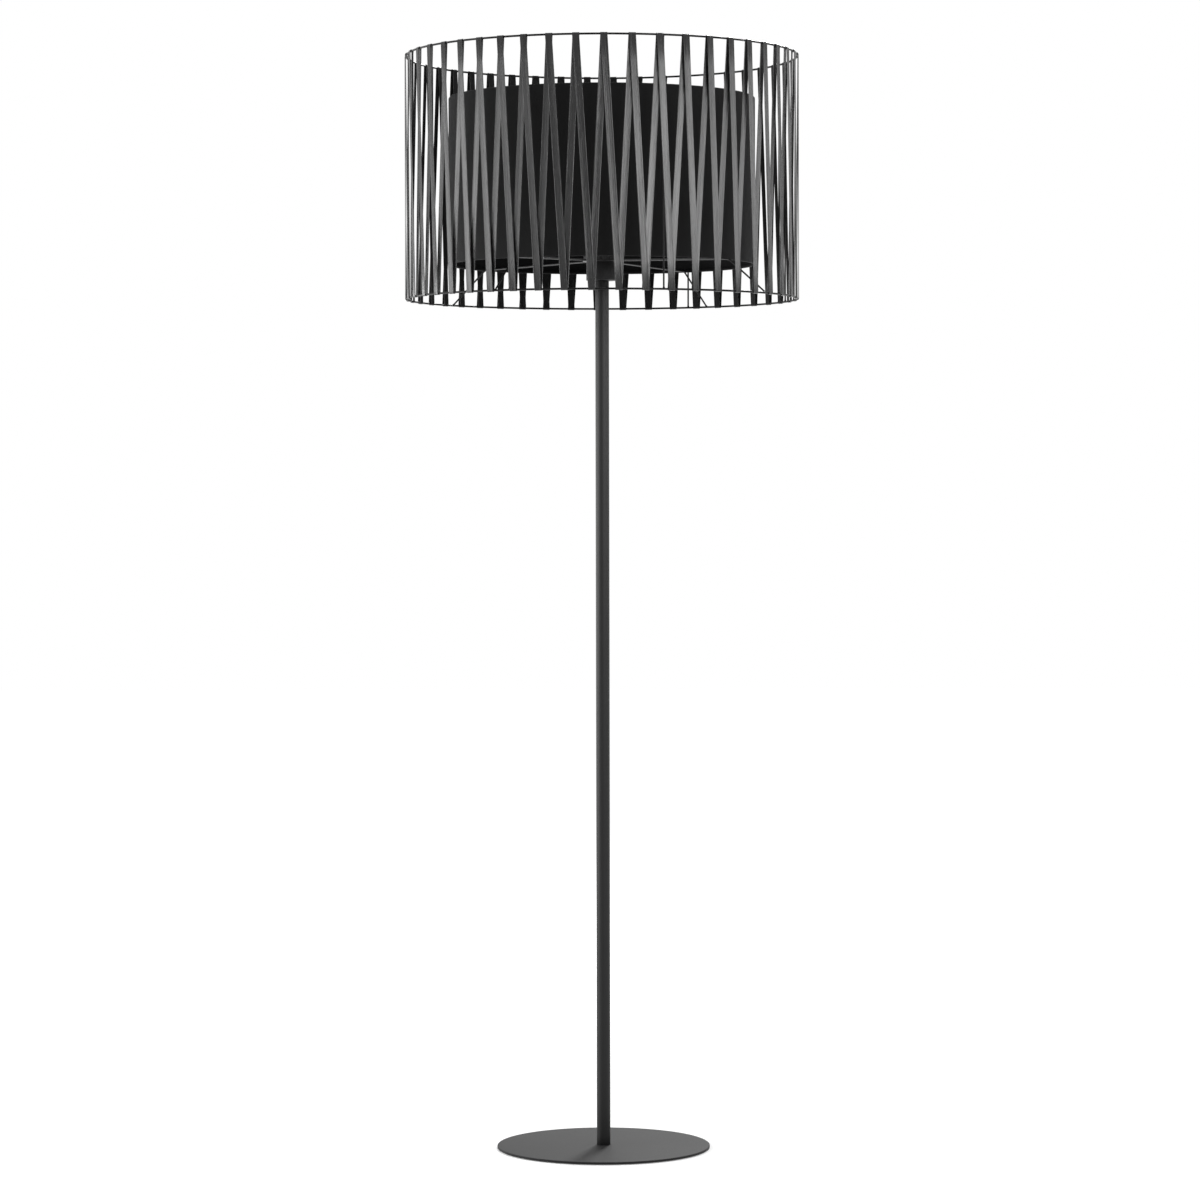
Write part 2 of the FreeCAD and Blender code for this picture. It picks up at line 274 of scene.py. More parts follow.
class Finish:
    # one node material: a Principled shader and the few nodes that vary it
    def __init__(self, name, colour, roughness, **sockets):
        self.material = bpy.data.materials.new(name)
        self.material.use_nodes = True
        self.tree = self.material.node_tree
        self.shader = self.tree.nodes["Principled BSDF"]
        self.shader.inputs["Base Color"].default_value = (*colour, 1)
        self.shader.inputs["Roughness"].default_value = roughness
        for socket, value in sockets.items():
            self.shader.inputs[socket.replace("_", " ")].default_value = value

    def add(self, kind, inputs=None, **settings):
        node = self.tree.nodes.new(kind)
        for key, value in settings.items():
            setattr(node, key, value)
        for socket, value in (inputs or {}).items():
            if isinstance(value, bpy.types.NodeSocket):
                self.tree.links.new(value, node.inputs[socket])
            else:
                node.inputs[socket].default_value = value
        return node

    def objectPlace(self, scale=(1, 1, 1)):
        place = self.add("ShaderNodeTexCoord").outputs["Object"]
        return self.add("ShaderNodeMapping", {"Vector": place, "Scale": scale}).outputs["Vector"]

    def ownPlace(self, scale=(1, 1, 1)):
        place = self.add("ShaderNodeAttribute", attribute_name="place").outputs["Vector"]
        return self.add("ShaderNodeMapping", {"Vector": place, "Scale": scale}).outputs["Vector"]

    def noise(self, place, scale, detail=3.0, roughness=0.5):
        inputs = {"Vector": place, "Scale": scale, "Detail": detail, "Roughness": roughness}
        return self.add("ShaderNodeTexNoise", inputs).outputs["Fac"]

    def spread(self, value, low, high, fromLow=0.3, fromHigh=0.7):
        inputs = {"Value": value, "From Min": fromLow, "From Max": fromHigh,
                  "To Min": low, "To Max": high}
        return self.add("ShaderNodeMapRange", inputs).outputs["Result"]

    def colours(self, value, stops):
        node = self.add("ShaderNodeValToRGB", {"Fac": value})
        ramp = node.color_ramp
        while len(ramp.elements) < len(stops):
            ramp.elements.new(0.5)
        for element, (position, colour) in zip(ramp.elements, stops):
            element.position, element.color = position, (*colour, 1)
        return node.outputs["Color"]

    def math(self, operation, first, second=0.0):
        node = self.add("ShaderNodeMath", operation=operation)
        for index, value in enumerate((first, second)):
            if isinstance(value, bpy.types.NodeSocket):
                self.tree.links.new(value, node.inputs[index])
            else:
                node.inputs[index].default_value = value
        return node.outputs["Value"]

    def weighted(self, first, firstShare, second, secondShare):
        first = self.math("MULTIPLY", first, firstShare)
        return self.math("ADD", first, self.math("MULTIPLY", second, secondShare))

    def feed(self, socket, value):
        self.tree.links.new(value, self.shader.inputs[socket])

    def tones(self, value, level, *stops):
        # base colour: the grey of level * share at each (position of the value, share)
        stops = [(position, grey(level * share)) for position, share in stops]
        self.feed("Base Color", self.colours(value, stops))

    def roughen(self, value, roughness, less, more, **span):
        # roughness: from roughness - less up to roughness + more
        self.feed("Roughness", self.spread(value, roughness - less, roughness + more, **span))

    def bump(self, height, distance, strength=1.0):
        inputs = {"Height": height, "Distance": distance, "Strength": strength}
        self.feed("Normal", self.add("ShaderNodeBump", inputs).outputs["Normal"])


def powderCoat(name, level, roughness, specular=0.5):
    # fine orange-peel grain, faint cloudiness, and gloss that varies with the grain
    finish = Finish(name, grey(level), roughness, Specular_IOR_Level=specular)
    place = finish.objectPlace()
    cloud = finish.noise(place, 9.0, detail=4.0, roughness=0.6)
    grain = finish.noise(place, 1500.0, detail=2.0, roughness=0.6)
    peel = finish.noise(place, 420.0, detail=2.0, roughness=0.5)
    finish.tones(finish.weighted(cloud, 0.6, grain, 0.4), level, (0.3, 0.82), (0.7, 1.2))
    finish.roughen(grain, roughness, 0.05, 0.07)
    height = finish.math("ADD", grain, finish.math("MULTIPLY", peel, 2.0))
    finish.bump(height, distance=0.06 * mm, strength=0.6)
    return finish.material


def strapFinish(name, settings):
    # extruded flat strap: coarse and fine lines along it, faint cloudiness and soft gloss
    level, roughness = settings["level"], settings["roughness"]
    finish = Finish(name, grey(level), roughness, Specular_IOR_Level=settings["specular"])
    lines = finish.noise(finish.ownPlace((6.0, 330.0, 1.0)), 1.0, detail=4.0, roughness=0.65)
    fine = finish.noise(finish.ownPlace((25.0, 3200.0, 1.0)), 1.0, detail=2.0, roughness=0.6)
    cloud = finish.noise(finish.objectPlace(), 14.0, detail=3.0, roughness=0.5)
    finish.tones(finish.weighted(lines, 0.6, cloud, 0.4), level, (0.36, 0.5), (0.64, 2.0))
    finish.roughen(lines, roughness, 0.10, 0.14)
    height = finish.math("ADD", finish.math("MULTIPLY", lines, 2.4), fine)
    finish.bump(height, distance=0.15 * mm, strength=0.8)
    return finish.material


def wovenCloth(name, settings):
    # plain weave: two crossed waves of threads, with slubs where a thread thickens
    level, roughness = settings["level"], settings["roughness"]
    finish = Finish(name, grey(level), roughness, Specular_IOR_Level=settings["specular"],
                    Sheen_Weight=settings["sheen"], Sheen_Roughness=0.45,
                    Sheen_Tint=(0.8, 0.8, 0.82, 1))
    threads = 2 * math.pi / settings["thread"]
    parts = finish.add("ShaderNodeSeparateXYZ", {"Vector": finish.ownPlace()})
    warp = finish.math("SINE", finish.math("MULTIPLY", parts.outputs["X"], threads))
    weft = finish.math("SINE", finish.math("MULTIPLY", parts.outputs["Y"], threads))
    over = finish.math("MULTIPLY", warp, weft)
    slubAcross = finish.noise(finish.ownPlace((60.0, 1900.0, 1.0)), 1.0, detail=2.0)
    slubUp = finish.noise(finish.ownPlace((1900.0, 60.0, 1.0)), 1.0, detail=2.0)
    slubs = finish.math("ADD", slubAcross, slubUp)
    cloud = finish.noise(finish.ownPlace(), 12.0)
    finish.tones(finish.weighted(slubs, 0.35, cloud, 0.3), level, (0.35, 0.75), (0.65, 1.35))
    finish.roughen(slubs, roughness, 0.06, 0.06, fromLow=0.7, fromHigh=1.3)
    height = finish.weighted(over, 0.5, slubs, 0.9)
    finish.bump(height, distance=0.12 * mm, strength=0.5)
    return finish.material


def moulded(name, level, roughness, specular=0.5):
    # moulded plastic or rubber: a faint matt grain
    finish = Finish(name, grey(level), roughness, Specular_IOR_Level=specular)
    place = finish.objectPlace()
    grain = finish.noise(place, 2200.0, detail=2.0, roughness=0.6)
    cloud = finish.noise(place, 60.0)
    finish.tones(cloud, level, (0.35, 0.85), (0.65, 1.2))
    finish.roughen(grain, roughness, 0.06, 0.08)
    finish.bump(grain, distance=0.03 * mm, strength=0.5)
    return finish.material


def feltFinish(name, level):
    # matted fibres: noise stretched in two directions
    finish = Finish(name, grey(level), 0.95, Specular_IOR_Level=0.2, Sheen_Weight=0.3)
    one = finish.noise(finish.objectPlace((1.0, 9.0, 1.0)), 260.0, roughness=0.7)
    other = finish.noise(finish.objectPlace((9.0, 1.0, 1.0)), 260.0, roughness=0.7)
    fibres = finish.math("ADD", one, other)
    finish.tones(finish.math("MULTIPLY", fibres, 0.5), level, (0.35, 0.6), (0.65, 1.6))
    finish.bump(fibres, distance=0.3 * mm, strength=0.6)
    return finish.material


def metal(name, colour, roughness):
    # bare pressed or plated metal with drawing marks and slight tarnish
    finish = Finish(name, colour, roughness, Metallic=1.0)
    marks = finish.noise(finish.objectPlace((1.0, 1.0, 14.0)), 160.0, roughness=0.6)
    tarnish = finish.noise(finish.objectPlace(), 130.0, detail=4.0, roughness=0.6)
    darker = tuple(c * 0.72 for c in colour)
    lighter = tuple(min(c * 1.08, 1.0) for c in colour)
    finish.feed("Base Color", finish.colours(tarnish, [(0.35, darker), (0.6, lighter)]))
    finish.roughen(marks, roughness, 0.08, 0.12)
    finish.bump(marks, distance=0.04 * mm, strength=0.4)
    return finish.material


strapLook = {"level": 0.006, "roughness": 0.22, "specular": 0.36}
# painted shade: a darker, duller copy of strapLook for the strap's faces that look in at the pole
strapPaintedShade = {"level": 0.004, "roughness": 0.60, "specular": 0.1}
clothLook = {
    "level": 0.0045,
    "roughness": 0.7,
    "specular": 0.12,
    "sheen": 0.06,
    "thread": 0.9 * mm,
}
finishes = {
    "plate_coat": powderCoat("plateCoat", 0.010, 0.58, 0.17),
    "pole_coat": powderCoat("poleCoat", 0.006, 0.45, 0.26),
    "cup_coat": powderCoat("cupCoat", 0.011, 0.50, 0.22),
    "cage_coat": powderCoat("cageCoat", 0.003, 0.30, 0.10),
    # painted light: the same black coat as the cage wires, with a base colour four times lighter
    # so the arms and fitter read lighter
    "spider_coat_painted_light": powderCoat("spiderCoatPaintedLight", 0.012, 0.35, 0.5),
    "felt": feltFinish("feltPad", 0.02),
    "grommet_rubber": moulded("grommetRubber", 0.012, 0.6),
    "lead_sheath": moulded("leadSheath", 0.012, 0.5),
    "holder_plastic": moulded("holderPlastic", 0.012, 0.45),
    "socket_brass": metal("socketBrass", (0.60, 0.42, 0.16), 0.3),
    "stud_zinc": metal("studZinc", (0.50, 0.51, 0.53), 0.35),
    "shade_fabric": wovenCloth("shadeFabric", clothLook),
    "shade_liner": moulded("shadeLiner", 0.004, 0.85, 0.1),
    "strap": strapFinish("strapFinish", strapLook),
    # painted shade on the strap's inward faces: a darker copy of the strap's finish
    "strap_painted_shade": strapFinish("strapPaintedShade", strapPaintedShade),
}
print("materials made:", len(finishes))


# base plate and felt

base = {"underEdge": 0.4 * mm, "plateEdge": 1.1 * mm, "feltEdge": 0.3 * mm}


def makeDisc(name, node, slot, under, over, filletSteps, sides):
    # a solid disc as big as its node, with the fillets under and over its rim
    low, high = boxOf(node)
    rim = high[0]
    corners = [(0, low[2], 0), (rim, low[2], under), (rim, high[2], over), (0, high[2], 0)]
    outline = roundedOutline(corners, filletSteps, False)
    points, faces = turned(outline, sides, False)
    addPiece(name, points, faces, "stand", slot, finishes[slot], [node])


def makeBase():
    under, over, felt = base["underEdge"], base["plateEdge"], base["feltEdge"]
    makeDisc("base_disc", "base_plate", "plate_coat", under, over, 7, 256)
    makeDisc("felt_pad", "base_felt", "felt", felt, felt, 3, 192)


makeBase()
print("base made")


# pole: a tube, open at both ends, with its cord hole at the back

pole = {
    "wall": 1.2 * mm,
    "edge": 0.3 * mm,
    "edgeShare": 0.3,
    "cupGap": 0.02 * mm,
    "holeRadius": 4.5 * mm,
    "patch": 7.0 * mm,
    "patchCells": 16,
    "patchRings": 6,
    "sides": 96,
    "rowsBelow": 3,
    "rowsAbove": 40,
}


def makePole():
    low, high = boxOf("pole")
    radius, middle = high[0], middleHeight("cord_grommet")
    top = boxOf("holder_cup")[0][2] - pole["cupGap"]
    edge, edgePart = pole["edge"], pole["edge"] * pole["edgeShare"]
    patch, cells, hole = pole["patch"], pole["patchCells"], pole["holeRadius"]

    def onWall(angle, z, r):
        return outward(angle) * r + up * np.asarray(z)[..., None]

    # outside wall: rows of height, with a square left open round the hole
    spread = patch / radius
    around = np.concatenate([
        np.linspace(math.pi - spread, math.pi + spread, cells + 1),
        np.linspace(math.pi + spread, 3 * math.pi - spread, pole["sides"] - cells)[1:-1],
    ])
    foot = np.array([low[2], low[2] + edgePart])
    below = np.linspace(low[2] + edge, middle - patch, pole["rowsBelow"])
    beside = np.linspace(middle - patch, middle + patch, cells + 1)
    above = np.linspace(middle + patch, top - edge, pole["rowsAbove"])
    tip = np.array([top - edgePart, top])
    z = np.concatenate([foot, below[:-1], beside, above[1:], tip])
    r = np.full(len(z), radius)
    r[[0, -1]] -= edge
    r[[1, -2]] -= edgePart
    columns, rows = len(around), len(z)
    angle, height = np.meshgrid(around, z)
    points = onWall(angle, height, r[:, None, None]).reshape(-1, 3)
    faces = gridFaces(rows, columns, False, True)
    start = len(foot) + len(below) - 1
    row, column = faces[:, 0] // columns, faces[:, 0] % columns
    inSquare = (row >= start) & (row < start + cells) & (column < cells)
    faces = faces[~inSquare]
    # the square's rim, walked once round, and rings shrinking from it to the hole's circle
    index = np.arange(rows * columns).reshape(rows, columns)
    index = index[start:start + cells + 1, :cells + 1]
    rim = np.concatenate([index[0, :-1], index[:-1, -1], index[-1, :0:-1], index[:0:-1, 0]])
    rimAngle, rimZ = angle.ravel()[rim] - math.pi, height.ravel()[rim] - middle
    flat = np.stack([rimAngle * radius, rimZ], -1)
    turn = np.arctan2(flat[:, 1], flat[:, 0])
    onHole = hole * np.stack([np.cos(turn), np.sin(turn)], -1)
    steps = np.linspace(0, 1, pole["patchRings"] + 1)[1:, None, None]
    rings = flat[None] * (1 - steps) + onHole[None] * steps
    patchPoints = onWall(math.pi + rings[..., 0] / radius, middle + rings[..., 1], radius)
    inside = radius - pole["wall"]
    deeper = onWall(math.pi + onHole[:, 0] / radius, middle + onHole[:, 1], inside)
    patchPoints = np.concatenate([patchPoints, deeper[None]])
    newIndex = len(points) + np.arange(patchPoints.shape[0] * len(rim))
    ringIndex = np.vstack([rim, newIndex.reshape(-1, len(rim))])
    nextIndex = np.roll(ringIndex, -1, axis=1)
    patchFaces = np.stack([ringIndex[:-1], ringIndex[1:], nextIndex[1:], nextIndex[:-1]], -1)
    patchFaces = patchFaces.reshape(-1, 4)
    points = np.vstack([points, patchPoints.reshape(-1, 3)])
    # inside wall, joined to the foot, the tip and the hole's inner edge
    innerPoints = onWall(angle, height, inside).reshape(-1, 3)
    shift = len(points)
    points = np.vstack([points, innerPoints])
    innerFaces = faces[:, ::-1] + shift
    innerRim, last = rim + shift, ringIndex[-1]
    joinFaces = np.stack([last, innerRim, np.roll(innerRim, -1), np.roll(last, -1)], -1)
    footOut, tipOut = np.arange(columns), np.arange(columns) + (rows - 1) * columns
    ends = [np.stack([a, np.roll(a, -1), np.roll(a, -1) + shift, a + shift], -1)
            for a in (footOut, tipOut[::-1])]
    faces = [faces, patchFaces, innerFaces, joinFaces, *ends]
    addPiece("pole_tube", points, faces, "stand", "pole_coat", finishes["pole_coat"], ["pole"])


makePole()
print("pole made")


# lampholder: cup, body with a threaded skirt, brass shell, contact and clamp ring

cup = {
    "wall": 1.0 * mm,
    "foot": 0.8 * mm,
    "lip": 0.35 * mm,
    "inside": 0.6 * mm,
    "spigotHole": 5.05 * mm,
    "holeEdge": 0.2 * mm,
}


def makeCup():
    low, high = boxOf("holder_cup")
    rim, hole = high[0], cup["spigotHole"]
    inner, floor = rim - cup["wall"], low[2] + cup["wall"]
    outline = roundedOutline([
        (hole, low[2], cup["holeEdge"]), (rim, low[2], cup["foot"]), (rim, high[2], cup["lip"]),
        (inner, high[2], cup["lip"]), (inner, floor, cup["inside"]),
        (hole, floor, cup["holeEdge"]),
    ])
    points, faces = turned(outline, 128)
    addPiece("cup", points, faces, "stand", "cup_coat", finishes["cup_coat"], ["holder_cup"])


def screwRelief(low, high, pitch, depth):
    # a screw groove between two heights, fading out over the last part of a pitch at each:
    # depth * (1 - cos(2 pi z / pitch + a)) / 2
    fadeOver = 0.6 * pitch

    def relief(angle, z):
        fade = np.clip(np.minimum(z - low, high - z) / fadeOver, 0, 1)
        return depth * fade * (1 - np.cos(2 * math.pi * z / pitch + angle)) / 2
    return relief


skirt = {
    "radius": 19.7 * mm,
    "chamber": 15.0 * mm,
    "shoulder": 1.5 * mm,
    "shoulderUnder": 0.15 * mm,
    "edge": 0.4 * mm,
    "boreEdge": 0.2 * mm,
    "shellGap": 0.02 * mm,
    "pitch": 2.0 * mm,
    "depth": 0.45 * mm,
    "rowsPerPitch": 10,
    "threadFoot": 0.5 * mm,
    "threadHead": 0.8 * mm,
}


def makeHolderBody():
    low, high = boxOf("holder_body")
    cupTop = boxOf("holder_cup")[1][2]
    bore = boxOf("socket_shell")[1][0] + skirt["shellGap"]
    floor = boxOf("centre_contact")[0][2]
    radius, hole, edge = skirt["radius"], cup["spigotHole"], skirt["edge"]
    shoulderTop, chamberTop = cupTop + skirt["shoulder"], low[2] + skirt["chamber"]
    lower = roundedOutline([
        (0, chamberTop, 0), (hole, chamberTop, 0), (hole, low[2], 0), (radius, low[2], edge),
        (radius, cupTop, 0), (high[0], cupTop, skirt["shoulderUnder"]),
        (high[0], shoulderTop, edge), (radius, shoulderTop, 0),
    ], 4, False)
    rowHeight = skirt["pitch"] / skirt["rowsPerPitch"]
    rows = np.arange(shoulderTop + skirt["threadFoot"], high[2] - edge, rowHeight)
    upper = roundedOutline([
        (radius, rows[-1], 0), (radius, high[2], edge), (bore, high[2], skirt["boreEdge"]),
        (bore, floor, 0), (0, floor, 0),
    ], 4, False)
    threaded = np.stack([np.full(len(rows), radius), rows], -1)
    outline = np.vstack([lower, threaded, upper[1:]])
    threadTop = high[2] - skirt["threadHead"]
    groove = screwRelief(shoulderTop, threadTop, skirt["pitch"], skirt["depth"])
    isThread = np.zeros(len(outline))
    isThread[len(lower):len(lower) + len(rows)] = 1
    inner = isThread[1:-1]
    points, faces = turned(outline, 96, False, lambda a, z: groove(a, z) * inner)
    addPiece("lampholder", points, faces, "stand", "holder_plastic",
             finishes["holder_plastic"], ["holder_body"])


shell = {"pitch": 3.6 * mm, "depth": 0.9 * mm, "sheet": 0.4 * mm, "rowsPerPitch": 12}


def makeShell():
    low, high = boxOf("socket_shell")
    rows = np.arange(low[2], high[2], shell["pitch"] / shell["rowsPerPitch"])
    rows = np.append(rows, high[2])
    outside = np.stack([np.full(len(rows), high[0]), rows], -1)
    inside = np.stack([np.full(len(rows), high[0] - shell["sheet"]), rows[::-1]], -1)
    groove = screwRelief(low[2], high[2], shell["pitch"], shell["depth"])
    points, faces = turned(np.vstack([outside, inside]), 96, True, groove)
    addPiece("brass_shell", points, faces, "stand", "socket_brass",
             finishes["socket_brass"], ["socket_shell"])


contact = {
    "sheet": 0.5 * mm,
    "edge": 0.15 * mm,
    "foot": 4.0 * mm,
    "tip": 3.0 * mm,
    "bend": 2.0 * mm,
}


def makeContact():
    low, high = boxOf("centre_contact")
    halfSheet, halfWidth = contact["sheet"] / 2, (high[1] - low[1]) / 2
    lower, upper, bend = low[2] + halfSheet, high[2] - halfSheet, contact["bend"]
    middle = roundedOutline([
        (low[0], lower, 0), (low[0] + contact["foot"], lower, bend),
        (high[0] - contact["tip"], upper, bend), (high[0], upper, 0),
    ], 6, False)
    path = np.stack([middle[:, 0], np.zeros(len(middle)), middle[:, 1]], -1)
    side = np.broadcast_to(np.array([0, 1.0, 0]), path.shape)
    section = roundedRectangle(halfWidth, halfSheet, contact["edge"], 3)
    points, faces = sweep(path, side, np.cross(directions(path), side), section)
    addPiece("contact_tongue", points, faces, "stand", "socket_brass",
             finishes["socket_brass"], ["centre_contact"])


clamp = {
    "gap": 0.08 * mm,
    "boreEdge": 0.3 * mm,
    "rimEdge": 0.8 * mm,
    "grip": 1.2 * mm,
    "ribs": 40,
    "ribDepth": 0.45 * mm,
    "stepsPerRib": 10,
}


def makeClampRing():
    low, high = boxOf("clamp_ring")
    bore, rim = skirt["radius"] + clamp["gap"], high[0]
    outline = roundedOutline([
        (bore, low[2], clamp["boreEdge"]), (rim, low[2], clamp["rimEdge"]),
        (rim, high[2], clamp["rimEdge"]), (bore, high[2], clamp["boreEdge"]),
    ])
    onRim = np.clip((outline[:, 0] - (rim - clamp["grip"])) / clamp["grip"], 0, 1)

    def ribs(angle, _):
        # grip ribs, the same at every height: depth * (1 - |cos(n a / 2)|), on the outside only
        return clamp["ribDepth"] * onRim * (1 - np.abs(np.cos(clamp["ribs"] * angle / 2)))

    points, faces = turned(outline, clamp["ribs"] * clamp["stepsPerRib"], True, ribs)
    addPiece("clamp_nut", points, faces, "clamp", "holder_plastic",
             finishes["holder_plastic"], ["clamp_ring"])


makeCup()
makeHolderBody()
makeShell()
makeContact()
makeClampRing()
print("lampholder made")


# cord inlet: rubber grommet seated on the round pole, and the lead behind it

inlet = {
    "hole": 4.45 * mm,
    "bore": 3.3 * mm,
    "flangeEdge": 0.9 * mm,
    "flangeUnder": 0.2 * mm,
    "seat": 0.03 * mm,
    "neckOut": 0.3 * mm,
    "neckIn": 0.2 * mm,
    "tailShare": 0.8,
    "tailEdge": 0.4 * mm,
    "sides": 48,
}


def makeGrommet():
    low, high = boxOf("cord_grommet")
    radius = boxOf("pole")[1][0]
    middle, rim = middleHeight("cord_grommet"), (high[2] - low[2]) / 2
    deep, outer = low[1] - radius, high[1]
    hole, bore, sides = inlet["hole"], inlet["bore"], inlet["sides"]
    # outline of (distance from the bore's axis, depth, share): share 1 follows the pole's curve
    corners = [(bore, outer, 0), (rim, outer, inlet["flangeEdge"]), (rim, radius, 0)]
    edge = roundedOutline(corners, 5, False)
    front = np.column_stack([edge, np.clip((outer - edge[:, 1]) / (outer - radius), 0, 1)])
    seat, tail = radius + inlet["seat"], radius + deep
    rest = np.array([
        [rim - inlet["flangeUnder"], seat, 1], [hole + inlet["neckOut"], seat, 1],
        [hole, radius - inlet["neckIn"], 1], [hole, radius + deep * inlet["tailShare"], 1],
        [hole - inlet["tailEdge"], tail, 0], [bore, tail, 0],
    ])
    profile = np.vstack([front, rest])
    turn = np.linspace(0, 2 * math.pi, sides, endpoint=False)
    x = profile[None, :, 0] * np.cos(turn)[:, None]
    z = middle + profile[None, :, 0] * np.sin(turn)[:, None]
    # y = depth + share * (sqrt(R^2 - x^2) - R), so the flange's underside lies on the pole
    y = profile[None, :, 1] + profile[None, :, 2] * (np.sqrt(radius ** 2 - x ** 2) - radius)
    points = np.stack([x, y, z], -1).reshape(-1, 3)
    faces = [gridFaces(sides, len(profile), True, True)]
    addPiece("inlet_grommet", points, faces, "stand", "grommet_rubber",
             finishes["grommet_rubber"], ["cord_grommet"], crease=50)


lead = {"radius": 3.0 * mm, "bend": 5.2 * mm, "bendSteps": 10, "sides": 20}


def makeLead():
    low, high = boxOf("pole_lead")
    radius, bend = lead["radius"], lead["bend"]
    level = low[2] + radius
    turn = np.linspace(0, math.pi / 2, lead["bendSteps"])
    arc = np.stack([bend * (1 - np.sin(turn)), level + bend * (1 - np.cos(turn))], -1)
    run = np.vstack([[high[1], level], arc, [0, high[2]]])
    path = np.stack([np.zeros(len(run)), run[:, 0], run[:, 1]], -1)
    side = np.broadcast_to(np.array([1.0, 0, 0]), path.shape)
    section = circle(radius, lead["sides"])
    points, faces = sweep(path, side, np.cross(side, directions(path)), section)
    addPiece("lead", points, faces, "stand", "lead_sheath", finishes["lead_sheath"], ["pole_lead"])


makeGrommet()
makeLead()
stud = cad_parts["base_stud"]
stud.data.materials.clear()
stud.data.materials.append(finishes["stud_zinc"])
print("cord inlet made")


# wires: fitter ring, spider arms, drum rings, struts, cage rings and uprights

wires = {
    "fitterBore": 20.5 * mm,
    "fitterEdge": 0.45 * mm,
    "cageInset": 1.5 * mm,
    "drumInset": 2.4 * mm,
    "armInset": 0.8 * mm,
    "cageRadius": 1.45 * mm,
    "drumRadius": 1.25 * mm,
    "armRadius": 1.5 * mm,
    "strutRadius": 1.25 * mm,
    "uprightRadius": 1.25 * mm,
    "strutFeet": (54.7, 145.9, 232.0, 328.25),
    "uprights": 8,
    "leaning": 7,
    "leanAngles": (333.0, 330.6),
    "armBead": {"reach": 1.0 * mm, "width": 1.3 * mm, "swell": 0.25},
    "ringBead": {"reach": 1.5 * mm, "width": 1.1 * mm, "swell": 0.32},
}


def sideAngle(node):
    low, high = boxOf(node)
    middle = (low + high) / 2
    return math.atan2(middle[0], -middle[1])


def wirePiece(name, shape, node, finish="cage_coat"):
    addPiece(name, *shape, "shade", "cage_coat", finishes[finish], [node], crease=40)


def makeWires():
    low, high = boxOf("fitter_ring")
    bore, rim, edge = wires["fitterBore"], high[0], wires["fitterEdge"]
    corners = [(bore, low[2]), (rim, low[2]), (rim, high[2]), (bore, high[2])]
    outline = roundedOutline([(*corner, edge) for corner in corners], 4)
    # the fitter takes the wires' coat with painted light: a lighter base colour
    wirePiece("fitter", turned(outline, 128), "fitter_ring", "spider_coat_painted_light")

    # radii of the two wires' middle lines, measured in from the cage's and the drum's own size
    cageLine = boxOf("cage_lower_ring")[1][0] - wires["cageInset"]
    drumLine = boxOf("drum_shell")[1][0] - wires["drumInset"]
    for name, node, line, radius, *grid in (
        ("cage_ring_low", "cage_lower_ring", cageLine, "cageRadius"),
        ("cage_ring_high", "cage_upper_ring", cageLine, "cageRadius"),
        ("drum_ring_low", "drum_lower_ring", drumLine, "drumRadius", 192, 10),
        ("drum_ring_high", "drum_upper_ring", drumLine, "drumRadius", 192, 10),
    ):
        wirePiece(name, wireLoop(line, middleHeight(node), wires[radius], *grid), node)
    cageLow, cageHigh = middleHeight("cage_lower_ring"), middleHeight("cage_upper_ring")
    fitterMiddle, drumLow = middleHeight("fitter_ring"), middleHeight("drum_lower_ring")
    for i, foot in enumerate(wires["strutFeet"], 1):
        angle, foot = sideAngle(f"spider_arm_{i}"), math.radians(foot)
        start = outward(angle) * (rim - wires["armInset"]) + up * fitterMiddle
        end = outward(angle) * drumLine + up * drumLow
        arm = wireRod(start, end, wires["armRadius"], wires["armBead"])
        # the arms take the wires' coat with painted light: a lighter base colour
        wirePiece(f"arm_{i}", arm, f"spider_arm_{i}", "spider_coat_painted_light")
        start, end = end, outward(foot) * cageLine + up * cageLow
        strut = wireRod(start, end, wires["strutRadius"], wires["ringBead"])
        wirePiece(f"strut_{i}", strut, f"cage_strut_{i}")
    for i in range(1, wires["uprights"] + 1):
        low = high = sideAngle(f"cage_upright_{i}")
        if i == wires["leaning"]:
            low, high = (math.radians(angle) for angle in wires["leanAngles"])
        start = outward(low) * cageLine + up * cageLow
        end = outward(high) * cageLine + up * cageHigh
        rod = wireRod(start, end, wires["uprightRadius"], wires["ringBead"])
        wirePiece(f"upright_{i}", rod, f"cage_upright_{i}")
    return cageLine, cageLow, cageHigh


cageLine, cageLow, cageHigh = makeWires()
print("wires made")


# drum: cloth on a stiff liner, its edges rolled over the wires, lapped at the back

drum = {
    "cloth": 0.55 * mm,
    "rollDepth": 4.4 * mm,
    "rollHeight": 3.6 * mm,
    "rollFlat": 0.05 * mm,
    "rollInside": 0.8,
    "hem": 11.0 * mm,
    "hemThick": 0.3 * mm,
    "hemTurn": 0.4 * mm,
    "hemEdge": 0.15 * mm,
    "wallRows": 14,
    "lap": 12.0 * mm,
    "lapStep": 0.35 * mm,
    "lapDepth": 1.0 * mm,
    "lapAngle": math.radians(163),
    "lapCut": (0.0012, 0.0004),
    "lapEase": 0.05,
    "columns": 288,
    "liner": 0.3 * mm,
    "linerEdge": 0.1 * mm,
    "linerUnderHem": 1.0 * mm,
}


